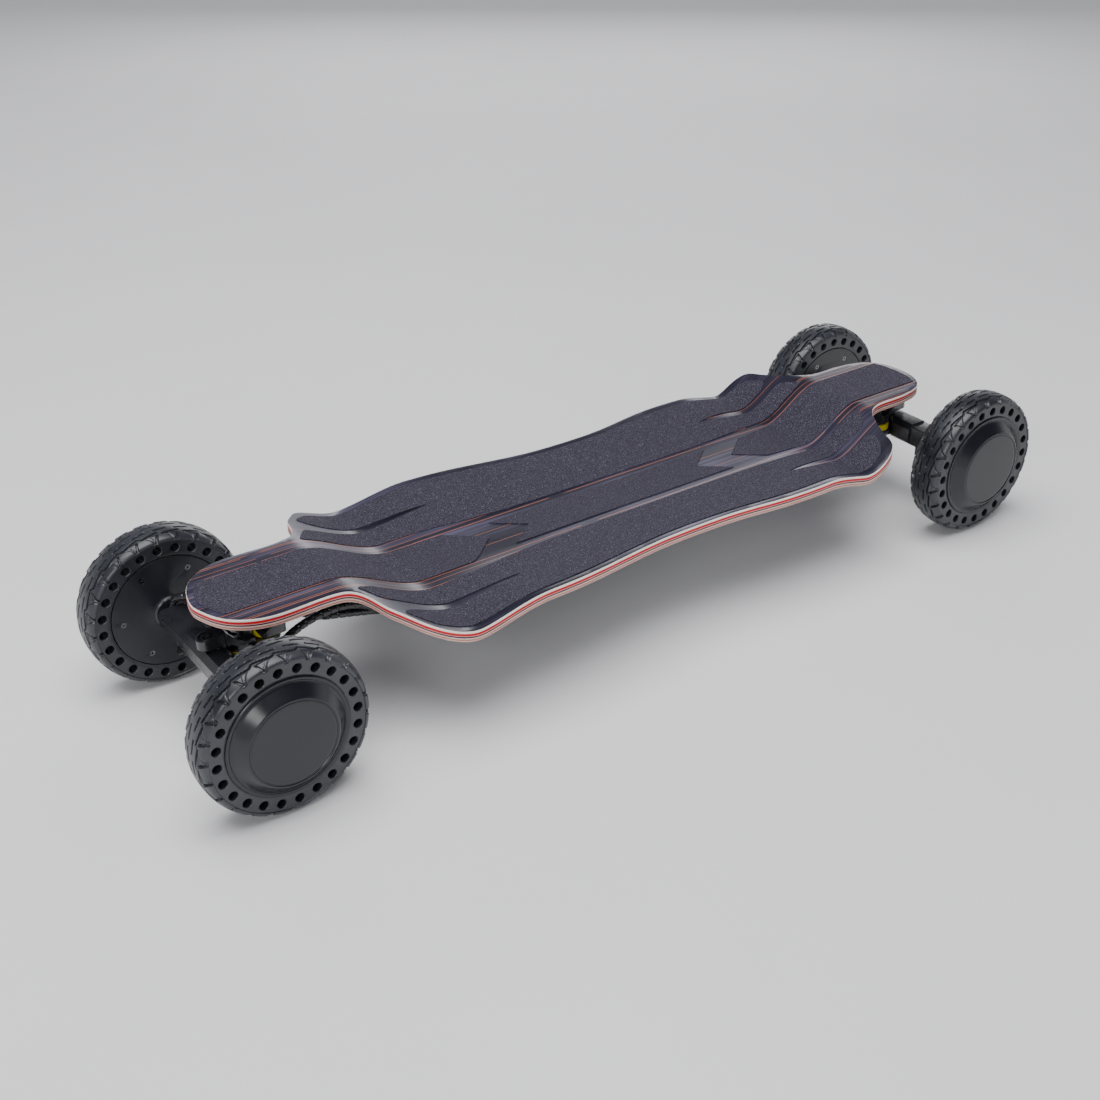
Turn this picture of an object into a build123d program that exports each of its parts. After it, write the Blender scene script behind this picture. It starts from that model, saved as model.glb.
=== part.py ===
"""Electric all-terrain skateboard with two double-kingpin trucks and hub motors.

Millimetres. +X is the front of the board, +Y its left side, +Z up. The origin is on the
ground under the middle of the board. A truck is drawn once, in its own frame, where +X
points outboard, and is then turned to the rear or the front of the board.
"""
from build123d import *
from math import cos, pi, radians, sin, tan
import os

# ---- driving dimensions: wheels ----
TYRE_R = 87.5
TYRE_WIDTH = 43.0
RIM_R = 63.2
TRACK_HALF = 133.25                 # middle of a tyre
WHEELBASE_HALF = 470.0
AXLE_Z = TYRE_R
TYRE_HOLES = 24
TYRE_HOLE_R = 4.6
TYRE_HOLE_CIRCLE = 71.8
COVER_Y = 113.1                     # outside of the inner cover
COVER_R = 62.0
COVER_T = 4.0
COVER_SCREWS = 6
COVER_SCREW_CIRCLE = 50.0
SCREW_R = 1.8
SCREW_END_Y = 121.0
FACE_Y = 154.2                      # flat ring of the outer hub face
FACE_R = 45.4                       # raised middle of the outer hub face
FACE_RISE = 10.8
FACE_CONE_R = 57.0
SHELL_T = 4.0
AXLE_R = 6.0
BEARING_R = 14.0
BEARING_W = 8.0
RUN = 0.05                          # radial clearance of a running fit

# ---- driving dimensions: deck ----
NOSE_Z = 158.0                      # top of the deck over the trucks
FLOOR_Z = 120.0                     # top of the deck between the drops
DECK_T = 12.5
GRIP_T = 0.8
GLUE_T = 0.06                       # gap under the flat middle panel
MIDDLE_PANEL = [(-132, 27), (-97, 0), (-132, -27), (176, -27), (142, 0), (176, 27)]
REAR_DROP = (-362.0, -250.0)
FRONT_DROP = (364.0, 282.0)
FLARE_SLOPE = 0.13                  # how steeply the sides rise from the floor
FLARE_Y = 38.0
FLARE_BLEND = 15.0
FLARE_REAR = (-268.0, -168.0)
FLARE_FRONT = (305.0, 225.0)
# half outline of the deck, rear to front
OUTLINE = [
    (-489, 0), (-486, 16), (-476, 38), (-463, 51), (-445, 60), (-400, 62.5), (-364, 62.5),
    (-350, 67), (-341, 80), (-337, 95), (-333, 107), (-325, 118), (-312, 135),
    (-297, 144), (-271, 147.7), (-206, 145.5), (-150, 144), (-114, 141), (-61, 133),
    (-9, 126.3), (38, 124.8), (96, 127), (149, 134.5), (187, 137.5), (240, 136.6),
    (295, 136.7), (318, 136), (331, 129), (338, 110), (346, 88), (357, 68.5),
    (372, 58.5), (412, 55.7), (438, 53), (457, 47), (470, 35), (477, 20), (479, 0),
]

# ---- driving dimensions: truck, outboard distance along X from the board's middle ----
INNER_KP_X = 417.0                  # kingpin held by the baseplate
OUTER_KP_X = 446.0                  # kingpin held by the arm
KP_R = 5.0
BUSH_R = 14.0
TILT_DEG = 45.0                     # both turning axes rise outboard at this angle
INNER_AXIS_Z = 103.5                # height of the inner turning axis over its kingpin
OUTER_AXIS_Z = 92.0
SLOPE = (cos(radians(TILT_DEG)), sin(radians(TILT_DEG)))
STEM_R = 6.0
RISER_T = 3.0
PLATE_T = 8.0
PLATE_X = (368.0, 460.0)
PLATE_HALF = 29.0
PLATE_TOP = NOSE_Z - DECK_T - RISER_T
PLATE_LOW = PLATE_TOP - PLATE_T
BLOCK_Z = 111.0                     # underside of the baseplate's kingpin block
RING_Z = (98.0, 102.0)              # arm ring between the inner bushings
YOKE_Z = (80.0, 87.0)               # hanger ring between the outer bushings
WASHER_T = 2.0
ARM_HALF = 16.0                     # ring round the inner kingpin
NECK_HALF = 13.0                    # arm over the outer bushing
TONGUE_HALF = 9.5
TONGUE_LOW_Z = 107.5
TONGUE_BOLT_X = 479.0
TONGUE_BOLT_Z = 119.0
TONGUE_DIP = 11.0                   # slope of the tongue's top, downwards and outboard
BEAM_HALF = 98.0
CLAMP_Y = 62.0
CLAMP_Z = 71.0
CLAMP_BOLT_R = 2.6
TRUCK_BOLT_X = (378.0, 450.0)
TRUCK_BOLT_Y = 20.0
TRUCK_BOLT_R = 3.0
INSERT_R = 5.0
INSERT_H = 9.0

# ---- driving dimensions: battery box ----
BOX_X = 215.0
BOX_TOP_Z = 104.0
BOX_Z = 74.0
BOX_TOP_HALF = 70.0
BOX_BOTTOM_HALF = 58.0
BOX_WALL = 2.5
FLANGE = 9.0
FLANGE_T = 3.0
CELL_R = 9.1
CELL_L = 65.0
CELL_ROWS = 5
CELLS_ACROSS = 6
CELL_Z = BOX_Z + BOX_WALL + 1 + CELL_R
CELL_PITCH_X = CELL_L + 2
CELL_START_X = -188.0
BUTTON_Y = 28.0
PORT_Y = -28.0
PANEL_Z = 90.0
BUTTON_R = 8.0
PORT_R = 6.0
PORT_CAP_GAP = 0.3
PORT_CAP_PLAY = 0.15
PORT_HINGE = (BOX_X + 2.3, PANEL_Z + 8.6)      # X and Z of the cap's hinge

# ---- driving dimensions: motor leads ----
LEAD_R = 4.2
# each route is chosen by hand from the motor to the junction on the arm, and on to the box
NEAR_OUTER = [(-470, -103, 92.4), (-470, -103, 107), (-460, -89, 115), (-447, -70, 115),
              (-431, -57, 115.5)]
NEAR_INNER = [(-431, -57, 115.5), (-415, -44, 116), (-391, -39, 122.5), (-364, -44, 131),
              (-338, -46, 129), (-314, -45, 115), (-288, -42, 101), (-262, -38, 92.5),
              (-236, -36, 90), (-209, -36, 90)]
FAR_OUTER = [(-470, 103, 92.4), (-470, 103, 107), (-460, 90, 113), (-450, 74, 114),
             (-438, 58, 112), (-421, 50, 112)]
FAR_INNER = [(-421, 50, 112), (-404, 42, 112), (-387, 22, 113), (-382, -4, 114),
             (-370, -27, 115), (-346, -35, 114.5), (-318, -33, 106), (-291, -28, 96),
             (-264, -25, 91), (-237, -24, 90), (-209, -24, 90)]


def smooth(t):
    """Smooth step from 0 to 1."""
    t = min(max(t, 0.0), 1.0)
    return t * t * (3 - 2 * t)


def deck_z(x, y):
    """Height of the deck's top face."""
    start, end = REAR_DROP if x < 0 else FRONT_DROP
    floor = NOSE_Z - (NOSE_Z - FLOOR_Z) * smooth((x - start) / (end - start))
    rear = smooth((x - FLARE_REAR[0]) / (FLARE_REAR[1] - FLARE_REAR[0]))
    front = smooth((x - FLARE_FRONT[0]) / (FLARE_FRONT[1] - FLARE_FRONT[0]))
    out = abs(y) - FLARE_Y
    if out < -FLARE_BLEND:
        rise = 0.0
    elif out < FLARE_BLEND:
        rise = (out + FLARE_BLEND) ** 2 / (4 * FLARE_BLEND)
    else:
        rise = out
    return floor + FLARE_SLOPE * rise * rear * front


def save(shape, name):
    """Write one node."""
    solids = shape if isinstance(shape, list) else [shape]
    body = solids[0] if len(solids) == 1 else Compound(solids)
    export_step(body, f"parts/{name}.step")


def tube(z0, z1, outer, inner=0.0, at=(0, 0)):
    """Upright cylinder or ring between two heights."""
    ring = Circle(outer) - Circle(inner) if inner else Circle(outer)
    return Pos(at[0], at[1], z0) * extrude(ring, z1 - z0)


def block(x0, x1, y0, y1, z0, z1):
    """Box between corners."""
    return Pos((x0 + x1) / 2, (y0 + y1) / 2, (z0 + z1) / 2) * Box(x1 - x0, y1 - y0, z1 - z0)


def side_plate(points, half):
    """Outline in X and Z, extruded to both sides of Y = 0."""
    face = Plane.XZ * make_face(Polyline(*points, close=True))
    return extrude(face, half, both=True)


def rod(start, end, radius, y=0.0):
    """Round bar between two points of the XZ plane."""
    a, b = Vector(start[0], y, start[1]), Vector(end[0], y, end[1])
    return extrude(Plane(origin=a, z_dir=b - a) * Circle(radius), (b - a).length)


def nut(z0, z1, radius, at, bore):
    """Flange nut with its flange on top."""
    hexagon = Pos(at[0], at[1], z0) * extrude(RegularPolygon(radius * 0.78, 6), z1 - z0)
    flange = tube(z1 - WASHER_T, z1, radius, at=at)
    return hexagon + flange - tube(z0 - 1, z1 + 1, bore, at=at)


# ---- deck ----
def outline_wire():
    left = [(x, w) for x, w in OUTLINE]
    right = [(x, -w) for x, w in reversed(OUTLINE[1:-1])]
    return Spline(*left, *right, periodic=True)


def deck_layer(z_low, thickness):
    """Slab that follows the deck's top face, from z_low over it, before it is cut out."""
    xs = [-500 + 12.5 * i for i in range(81)]
    ys = [-156 + 12 * i for i in range(27)]
    rows = [[Vector(x, y, deck_z(x, y) + z_low) for x in xs] for y in ys]
    skin = Face.make_surface_from_array_of_points(rows, tol=0.03)
    return extrude(skin, thickness, dir=(0, 0, 1))


def grip_outlines():
    """Four grip panels that follow the deck: two down the middle, one on each side."""
    rear = [(-482, 0), (-479, 18), (-471, 35), (-250, 35), (-190, 34), (-181, 28), (-148, 0)]
    front = [(196, 0), (230, 27), (262, 30), (300, 34), (466, 34), (470, 18), (471, 0)]
    side = [(-344, 57), (-300, 56), (-250, 54), (-200, 52), (-120, 42), (0, 40), (180, 40),
            (250, 44), (300, 47), (354, 47), (348, 56), (341, 70), (334, 75), (300, 73),
            (250, 76), (206, 80), (250, 87), (300, 86), (333, 90), (328, 112), (318, 124),
            (300, 127), (240, 127), (187, 128), (149, 125), (96, 118), (38, 115.5), (-9, 117),
            (-61, 124), (-114, 132), (-150, 135), (-206, 136), (-271, 138), (-296, 134),
            (-310, 124), (-321, 112), (-306, 103), (-270, 99), (-220, 97), (-160, 91),
            (-220, 88), (-270, 88), (-300, 86), (-326, 84), (-334, 72)]
    faces = []
    for half in (rear, front):
        mirrored = [(x, -w) for x, w in reversed(half) if w > 0]
        faces.append(make_face(Polyline(*half, *mirrored, close=True)))
    for sign in (1, -1):
        faces.append(make_face(Polyline(*[(x, sign * y) for x, y in side], close=True)))
    return faces


def deck():
    plan = extrude(Pos(0, 0, 90) * make_face(outline_wire()), 90)
    board = deck_layer(-DECK_T, DECK_T) & plan
    for x, y in insert_places():
        low = deck_z(x, y) - DECK_T
        board -= tube(low - 5, low + INSERT_H, INSERT_R, at=(x, y))
    return board


def grip_tape():
    layer = deck_layer(0, GRIP_T)
    panels = [layer & extrude(Pos(0, 0, 90) * face, 90) for face in grip_outlines()]
    outline = make_face(Polyline(*MIDDLE_PANEL, close=True))
    middle = extrude(Pos(0, 0, FLOOR_Z + GLUE_T) * outline, GRIP_T - GLUE_T)
    return [middle] + panels


def truck_bolt_places():
    return [(side * x, sign * TRUCK_BOLT_Y)
            for side in (-1, 1) for x in TRUCK_BOLT_X for sign in (-1, 1)]


def box_screw_places():
    edge = BOX_TOP_HALF + FLANGE / 2
    return [(x, sign * edge) for x in (-180, -60, 60, 180) for sign in (-1, 1)]


def insert_places():
    return truck_bolt_places() + box_screw_places()


def deck_inserts():
    inserts = []
    for x, y in insert_places():
        low = deck_z(x, y) - DECK_T
        inserts.append(tube(low + 0.5, low + INSERT_H, INSERT_R, TRUCK_BOLT_R, at=(x, y)))
    return inserts


# ---- truck, drawn with +X outboard ----


def inner_axis(s):
    """Point at distance s up the inner turning axis, in the XZ plane."""
    return (INNER_KP_X + s * SLOPE[0], INNER_AXIS_Z + s * SLOPE[1])


def outer_axis(s):
    """Point at distance s up the outer turning axis, in the XZ plane."""
    return (OUTER_KP_X + s * SLOPE[0], OUTER_AXIS_Z + s * SLOPE[1])


def riser_pad():
    pad = block(*PLATE_X, -PLATE_HALF, PLATE_HALF, PLATE_TOP, PLATE_TOP + RISER_T - 0.05)
    pad = fillet(pad.edges().filter_by(Axis.Z), 8)
    for x in TRUCK_BOLT_X:
        for sign in (-1, 1):
            pad -= tube(PLATE_TOP - 1, NOSE_Z, TRUCK_BOLT_R + 0.3, at=(x, sign * TRUCK_BOLT_Y))
    return pad


def baseplate():
    plate = block(*PLATE_X, -PLATE_HALF, PLATE_HALF, PLATE_LOW, PLATE_TOP)
    plate = fillet(plate.edges().filter_by(Axis.Z), 8)
    kingpin_block = side_plate([(404, PLATE_LOW + 1), (404, BLOCK_Z), (430, BLOCK_Z),
                                (430, 115), (424, 119), (424, PLATE_LOW + 1)], 26)
    kingpin_block = fillet(kingpin_block.edges().filter_by(Axis.Z), 4)
    mouth = sum(inner_axis(26))
    cup = side_plate([(431, PLATE_LOW + 1), (431, mouth - 431), (441, mouth - 441),
                      (450, 121), (457, PLATE_LOW + 1)], 11)
    body = plate + kingpin_block + cup
    body -= rod(inner_axis(20), inner_axis(34), STEM_R + RUN)
    body -= tube(BLOCK_Z - 1, PLATE_TOP + 1, KP_R, at=(INNER_KP_X, 0))
    body -= tube(PLATE_TOP - 6, PLATE_TOP + 1, 9, at=(INNER_KP_X, 0))
    for x in TRUCK_BOLT_X:
        for sign in (-1, 1):
            body -= tube(PLATE_LOW - 1, PLATE_TOP + 1, TRUCK_BOLT_R + 0.3,
                         at=(x, sign * TRUCK_BOLT_Y))
    return body


def truck_bolt(x, y):
    head = tube(PLATE_LOW - 4, PLATE_LOW, 5.5, at=(x, y)) - tube(PLATE_LOW - 5, PLATE_LOW - 1.5,
                                                               2, at=(x, y))
    return head + tube(PLATE_LOW - 1, NOSE_Z - DECK_T + 8, TRUCK_BOLT_R, at=(x, y))


def inner_kingpin():
    head = Pos(INNER_KP_X, 0, PLATE_TOP - 6) * extrude(RegularPolygon(8.8, 6), 5.5)
    return head + tube(77, PLATE_TOP - 5, KP_R, at=(INNER_KP_X, 0))


def inner_nut():
    return nut(79, RING_Z[0] - 10, 9.5, (INNER_KP_X, 0), KP_R)


def bushing(z0, z1, radius, x):
    """Barrel with a waist, on a kingpin."""
    ring = tube(z0, z1, radius, KP_R + 0.1, at=(x, 0))
    return chamfer(ring.edges().filter_by(GeomType.CIRCLE).sort_by(SortBy.RADIUS)[-2:], 1.2)


def inner_bushings():
    return [bushing(RING_Z[1], BLOCK_Z, BUSH_R, INNER_KP_X),
            bushing(RING_Z[0] - 10, RING_Z[0], 9.5, INNER_KP_X)]


def outer_bushings():
    return [bushing(YOKE_Z[1], RING_Z[0] - WASHER_T, BUSH_R, OUTER_KP_X),
            bushing(YOKE_Z[0] - 9, YOKE_Z[0], 12, OUTER_KP_X)]


def tongue_normal():
    return Vector(sin(radians(TONGUE_DIP)), 0, cos(radians(TONGUE_DIP)))


def tongue_bolt_plane(depth):
    """Plane across the tongue's bolt, this far under the tongue's top."""
    top = Vector(TONGUE_BOLT_X, 0, TONGUE_BOLT_Z)
    return Plane(origin=top - tongue_normal() * depth, z_dir=tongue_normal())


def arm():
    dip = tan(radians(TONGUE_DIP))

    def top(x):
        return TONGUE_BOLT_Z - (x - TONGUE_BOLT_X) * dip
    profile = [(433, RING_Z[0]), (452, 98), (452, 104), (457, TONGUE_LOW_Z),
               (496, TONGUE_LOW_Z), (496, top(496)), (462, top(462)), (452, 112), (444, 107),
               (433, 107)]
    body = side_plate(profile, NECK_HALF)
    plan = block(400, 462, -NECK_HALF, NECK_HALF, 90, 140)
    plan += block(450, TONGUE_BOLT_X, -TONGUE_HALF, TONGUE_HALF, 90, 140)
    plan += tube(90, 140, TONGUE_HALF, at=(TONGUE_BOLT_X, 0))
    body &= plan
    mouth = sum(outer_axis(26))
    passage = side_plate([(450, 90), (450, mouth - 450), (mouth - 90, 90)], 7.8)
    body -= passage
    body -= rod(outer_axis(20), outer_axis(34), STEM_R + RUN)
    ring = tube(*RING_Z, ARM_HALF, at=(INNER_KP_X, 0))
    ring += block(INNER_KP_X, 436, -ARM_HALF + 2, ARM_HALF - 2, *RING_Z)
    ring -= tube(90, 110, 10, at=(INNER_KP_X, 0))
    post = side_plate([(433.5, 104), (441, 104), (441, 113), (437, 117), (431, 117.5)], 5.5)
    post += rod(inner_axis(22), inner_axis(33), STEM_R)
    body = body + ring + post
    body -= tube(90, 120, KP_R, at=(OUTER_KP_X, 0))
    recess = extrude(tongue_bolt_plane(4) * Circle(7.3), 20)
    hole = extrude(tongue_bolt_plane(7.5) * Circle(3), 6)
    return body - recess - hole


def tongue_bolt():
    head = extrude(tongue_bolt_plane(4) * Circle(6), 3.2)
    socket = extrude(tongue_bolt_plane(2.6) * RegularPolygon(2.9, 6), 10)
    shank = extrude(tongue_bolt_plane(7.4) * Circle(3), 4)
    return head + shank - socket


def outer_kingpin():
    return tube(60, 107, KP_R, at=(OUTER_KP_X, 0))


def arm_hardware():
    """Cup washer over the outer bushing, flange nut under it, and the tongue's bolt."""
    cup = tube(RING_Z[0] - WASHER_T, RING_Z[0], BUSH_R - 1.5, KP_R, at=(OUTER_KP_X, 0))
    return [cup, nut(62, YOKE_Z[0] - 9, 12, (OUTER_KP_X, 0), KP_R), tongue_bolt()]


def hanger():
    section = [(456, 80), (460, 76), (481, 76), (488, 83), (488, 97), (482, 103),
               (462, 103), (456, 97)]
    beam = side_plate(section, BEAM_HALF)
    waist = side_plate([(450, 60), (459, 60), (459, 120), (450, 120)], BEAM_HALF)
    waist += side_plate([(450, 101), (500, 101), (500, 120), (450, 120)], BEAM_HALF)
    waist -= block(440, 500, -44, 44, 50, 130)
    beam -= waist
    kp = (OUTER_KP_X, 0)
    beam -= tube(60, 120, 18.5, at=kp)
    yoke = tube(*YOKE_Z, 14.5, at=kp) + block(OUTER_KP_X, 470, -14.5, 14.5, *YOKE_Z)
    post = side_plate([(464, 95), (472, 95), (472, 101), (465, 108), (460.5, 106)], 5.5)
    body = beam + yoke + post + rod(outer_axis(21), outer_axis(33), STEM_R)
    body -= tube(60, 95, 10, at=kp)
    for sign in (-1, 1):
        y0, y1 = sorted((sign * (CLAMP_Y - 7), sign * (CLAMP_Y + 7)))
        body += block(459, 481, y0, y1, CLAMP_Z - 5, 80)
        y0, y1 = sorted((sign * 50, sign * (BEAM_HALF + 1)))
        bore = Plane(origin=(WHEELBASE_HALF, y0, AXLE_Z), z_dir=(0, 1, 0)) * Circle(AXLE_R)
        body -= extrude(bore, y1 - y0)
        body -= block(WHEELBASE_HALF - 1, WHEELBASE_HALF + 1, y0, y1, 60, AXLE_Z)
        body -= rod((440, CLAMP_Z), (500, CLAMP_Z), CLAMP_BOLT_R, y=sign * CLAMP_Y)
    return body


def clamp_bolt(sign):
    y = sign * CLAMP_Y
    head = rod((481, CLAMP_Z), (486, CLAMP_Z), 4.4, y=y)
    head -= rod((483, CLAMP_Z), (487, CLAMP_Z), 2.2, y=y)
    return head + rod((460, CLAMP_Z), (482, CLAMP_Z), CLAMP_BOLT_R, y=y)


def axle(sign):
    start = Plane(origin=(WHEELBASE_HALF, sign * 52, AXLE_Z), z_dir=(0, sign, 0))
    bar = extrude(start * Circle(AXLE_R), 108)
    flat = block(460, 480, *sorted((sign * 98.5, sign * 107.5)), AXLE_Z + 4.8, AXLE_Z + 9)
    return bar - flat


def stator(sign):
    """Laminated core with twelve teeth, on the axle."""
    core = Circle(30) - Circle(AXLE_R)
    teeth = Sketch() + [Rot(0, 0, 30 * i) * Pos(34, 0) * Rectangle(20, 6) for i in range(12)]
    shoes = Circle(49) - Circle(44)
    gaps = Sketch() + [Rot(0, 0, 30 * i + 15) * Pos(46, 0) * Rectangle(14, 4)
                       for i in range(12)]
    plane = Plane(origin=(WHEELBASE_HALF, sign * 124, AXLE_Z), z_dir=(0, sign, 0))
    return extrude(plane * (core + teeth + (shoes - gaps)), 20)


# ---- wheel, drawn about the Y axis with its outer face towards +Y ----
def turned(points):
    """Solid of revolution about Y from points of radius and Y."""
    return revolve(make_face(Polyline(*points, close=True)), Axis.Y)


def tyre():
    half = TYRE_WIDTH / 2
    y = TRACK_HALF
    with_crown = [(RIM_R, y - half + 1), (RIM_R + 3, y - half), (79, y - half),
                  (84.5, y - half + 3.5), (86.9, y - half + 9), (TYRE_R, y - 6),
                  (TYRE_R, y + 6), (86.9, y + half - 9), (84.5, y + half - 3.5),
                  (79, y + half), (RIM_R + 3, y + half), (RIM_R, y + half - 1)]
    body = turned(with_crown)
    hole = Plane(origin=(TYRE_HOLE_CIRCLE, y - half - 1, 0), z_dir=(0, 1, 0)) * Circle(TYRE_HOLE_R)
    drill = extrude(hole, TYRE_WIDTH + 2)
    step = 360 / TYRE_HOLES
    drills = [drill.rotate(Axis.Y, step * i) for i in range(TYRE_HOLES)]
    return body - drills




def on_screw_circle(i, y, radius, length):
    """Bar along Y on the inner cover's screw circle."""
    angle = 2 * pi * i / COVER_SCREWS
    x, z = COVER_SCREW_CIRCLE * cos(angle), COVER_SCREW_CIRCLE * sin(angle)
    return extrude(Plane(origin=(x, y, z), z_dir=(0, 1, 0)) * Circle(radius), length)


def hub_shell():
    """Rim and outer face in one casting, with a seat for the outer bearing."""
    wall = RIM_R - 5.2
    top = FACE_Y + FACE_RISE
    inside = top - SHELL_T
    seat = inside - BEARING_W - 2
    shoulder = COVER_Y + COVER_T
    profile = [(RIM_R, shoulder), (RIM_R, FACE_Y), (FACE_CONE_R, FACE_Y),
               (FACE_R + 2, top - 1), (FACE_R, top), (0, top), (0, inside),
               (BEARING_R, inside), (BEARING_R, seat), (BEARING_R + 4, seat),
               (BEARING_R + 4, inside), (FACE_R - 3, inside),
               (FACE_CONE_R - 4, FACE_Y - SHELL_T), (wall, FACE_Y - SHELL_T),
               (wall, SCREW_END_Y + 1), (wall - 12, SCREW_END_Y + 1), (wall - 12, shoulder)]
    shell = turned(profile)
    screws = [on_screw_circle(i, shoulder - 1, SCREW_R, 8) for i in range(COVER_SCREWS)]
    return shell - screws


def inner_cover():
    """End plate with a raised boss that holds the inner bearing."""
    profile = [(AXLE_R + 2, 108), (16, 108), (18, 110), (18, COVER_Y - 1), (30, COVER_Y),
               (COVER_R, COVER_Y), (COVER_R, COVER_Y + COVER_T), (20, COVER_Y + COVER_T),
               (18, 120), (BEARING_R, 120), (BEARING_R, 110), (AXLE_R + 2, 110)]
    plate = turned(profile)
    for i in range(COVER_SCREWS):
        plate -= on_screw_circle(i, COVER_Y - 1, 3.4, 3)
        plate -= on_screw_circle(i, COVER_Y - 1, SCREW_R, 9)
    return plate


def cover_screws():
    screws = []
    for i in range(COVER_SCREWS):
        head = on_screw_circle(i, COVER_Y, 3.2, 2)
        shank = on_screw_circle(i, COVER_Y + 1, SCREW_R, SCREW_END_Y - COVER_Y - 1)
        screws.append(head + shank - on_screw_circle(i, COVER_Y - 1, 1.2, 2.2))
    return screws


def bearings():
    """Inner and outer wheel bearings."""
    outer = FACE_Y + FACE_RISE - SHELL_T - BEARING_W - 1
    bore = AXLE_R + RUN
    return [turned([(bore, y), (BEARING_R, y), (BEARING_R, y + BEARING_W), (bore, y + BEARING_W)])
            for y in (111, outer)]


def magnet_ring():
    """Magnets against the inside of the rim, round the stator."""
    ring = turned([(50.5, 124), (RIM_R - 5.2, 124), (RIM_R - 5.2, 146), (50.5, 146)])
    slots = [Plane(origin=(0, 123, 0), z_dir=(0, 1, 0)) * (Rot(0, 0, 360 / 28 * i)
             * Pos(51, 0) * Rectangle(4, 1.2)) for i in range(28)]
    return ring - [extrude(slot, 24) for slot in slots]


# ---- battery box ----
def box_section(drop, inset):
    """Trapezoid across the box, in Y and Z, this much inside its outer surface."""
    slope = (BOX_TOP_HALF - BOX_BOTTOM_HALF) / (BOX_TOP_Z - BOX_Z)
    top, low = BOX_TOP_HALF - inset, BOX_BOTTOM_HALF - inset + slope * drop
    return make_face(Polyline((-low, BOX_Z + drop), (low, BOX_Z + drop), (top, BOX_TOP_Z),
                              (-top, BOX_TOP_Z), close=True))


def along_x(face, x0, x1):
    return extrude(Plane(origin=(x0, 0, 0), x_dir=(0, 1, 0), z_dir=(1, 0, 0)) * face, x1 - x0)


def flange_ring(z0, z1):
    """Rim around the mouth of the box."""
    x, y = BOX_X + FLANGE, BOX_TOP_HALF + FLANGE
    ring = fillet(block(-x, x, -y, y, z0, z1).edges().filter_by(Axis.Z), 10)
    wall = BOX_WALL
    inner = block(-BOX_X + wall, BOX_X - wall, -BOX_TOP_HALF + wall, BOX_TOP_HALF - wall, z0 - 1, z1 + 1)
    return ring - inner


def on_panel(y, z, radius, x0, x1):
    """Bar along X at a place on the box's front wall."""
    return extrude(Plane(origin=(x0, y, z), z_dir=(1, 0, 0)) * Circle(radius), x1 - x0)


def battery_box():
    body = along_x(box_section(0, 0), -BOX_X, BOX_X)
    body = fillet(body.edges().filter_by(Axis.X).sort_by(Axis.Z)[:2], 6)
    body += flange_ring(BOX_TOP_Z - FLANGE_T, BOX_TOP_Z)
    body -= along_x(box_section(BOX_WALL, BOX_WALL), -BOX_X + BOX_WALL, BOX_X - BOX_WALL)
    body -= on_panel(BUTTON_Y, PANEL_Z, BUTTON_R + RUN, BOX_X - 5, BOX_X + 5)
    body -= on_panel(PORT_Y, PANEL_Z, PORT_R, BOX_X - 5, BOX_X + 5)
    for _, y, z in (NEAR_INNER[-1], FAR_INNER[-1]):
        body -= on_panel(y, z, LEAD_R + 0.1, -BOX_X - 5, -BOX_X + 5)
    for x, y in box_screw_places():
        body -= tube(BOX_TOP_Z - 10, BOX_TOP_Z + 5, TRUCK_BOLT_R + 0.2, at=(x, y))
    return body


def box_gasket(board):
    """Foam seal that fills the gap between the box and the deck's underside."""
    seal = flange_ring(BOX_TOP_Z, BOX_TOP_Z + 11)
    for x, y in box_screw_places():
        seal -= tube(BOX_TOP_Z - 1, BOX_TOP_Z + 20, INSERT_R + 0.3, at=(x, y))
    return (seal - board).solids().sort_by(SortBy.VOLUME)[-1]


def box_screws():
    screws = []
    for x, y in box_screw_places():
        low = BOX_TOP_Z - FLANGE_T
        head = tube(low - 2.5, low, 5.5, at=(x, y)) - tube(low - 3, low - 1, 1.8, at=(x, y))
        screws.append(head + tube(low - 1, deck_z(x, y) - DECK_T + 7, TRUCK_BOLT_R, at=(x, y)))
    return screws




def battery_cells():
    cells = []
    for row in range(CELL_ROWS):
        x = CELL_START_X + row * CELL_PITCH_X
        for i in range(CELLS_ACROSS):
            y = (i - (CELLS_ACROSS - 1) / 2) * (2 * CELL_R + 0.3)
            cells.append(on_panel(y, CELL_Z, CELL_R, x, x + CELL_L)
                         + on_panel(y, CELL_Z, 3, x + CELL_L, x + CELL_L + 1))
    return cells


def battery_board():
    """Battery management board over the cells."""
    z = CELL_Z + CELL_R + 0.7
    board = block(-60, 40, -30, 30, z, z + 1.6)
    chips = [block(x, x + 8, y, y + 6, z + 1.6, z + 3.2) for x in (-50, -30, -10, 10)
             for y in (-20, 12)]
    return board + chips


def speed_controller():
    """Finned aluminium case of the motor controller."""
    x0, x1, z0 = 152.0, 198.0, BOX_Z + BOX_WALL
    case = block(x0, x1, -48, 48, z0, z0 + 20)
    grooves = [block(x0 - 1, x1 + 1, -44 + 8 * i, -40 + 8 * i, z0 + 16, z0 + 21) for i in range(12)]
    return case - grooves




def power_button():
    """Cap with a collar behind the wall that keeps it in."""
    inside = BOX_X - BOX_WALL - 0.1
    cap = on_panel(BUTTON_Y, PANEL_Z, BUTTON_R, inside, BOX_X + 2.5)
    cap = fillet(cap.edges().sort_by(Axis.X)[-1], 1)
    return cap + on_panel(BUTTON_Y, PANEL_Z, BUTTON_R + 1.5, inside - 1.5, inside)


def charge_port():
    """Barrel socket with its centre pin."""
    socket = on_panel(PORT_Y, PANEL_Z, PORT_R, BOX_X - 12, BOX_X + 0.5)
    socket -= on_panel(PORT_Y, PANEL_Z, 2.9, BOX_X - 9, BOX_X + 2)
    return socket + on_panel(PORT_Y, PANEL_Z, 1.0, BOX_X - 10, BOX_X - 1)




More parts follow.
